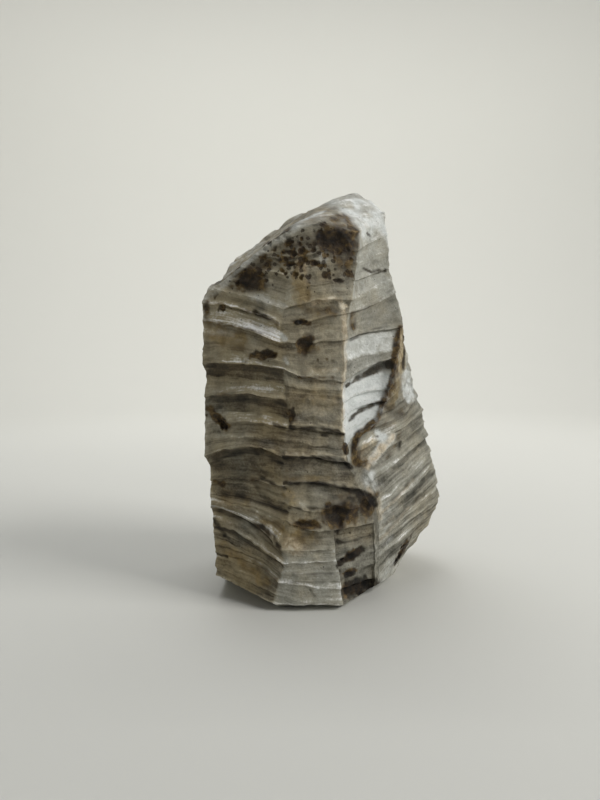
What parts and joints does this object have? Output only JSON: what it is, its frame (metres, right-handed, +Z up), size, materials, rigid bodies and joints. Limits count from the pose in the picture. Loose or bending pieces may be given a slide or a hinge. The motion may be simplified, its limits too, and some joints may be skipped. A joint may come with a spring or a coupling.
{
  "type": "soapstone block",
  "caption": "Rough upright block of banded raw soapstone with stepped, fluted flanks, a sloped rounded top and a flat base to stand on.",
  "frame": {"origin": "point on the flat base below the middle of the block", "axes": "+Z up, -Y towards the face with the most ledges, +X towards the flank that bulges low down"},
  "size_m": [0.116, 0.0919, 0.1895],
  "materials": {
    "soapstone": "rough broken soapstone, dull, with chalky bruises and rusty seams"
  },
  "bodies": {
    "root": {"soapstone_block": "soapstone"}
  },
  "joints": []
}
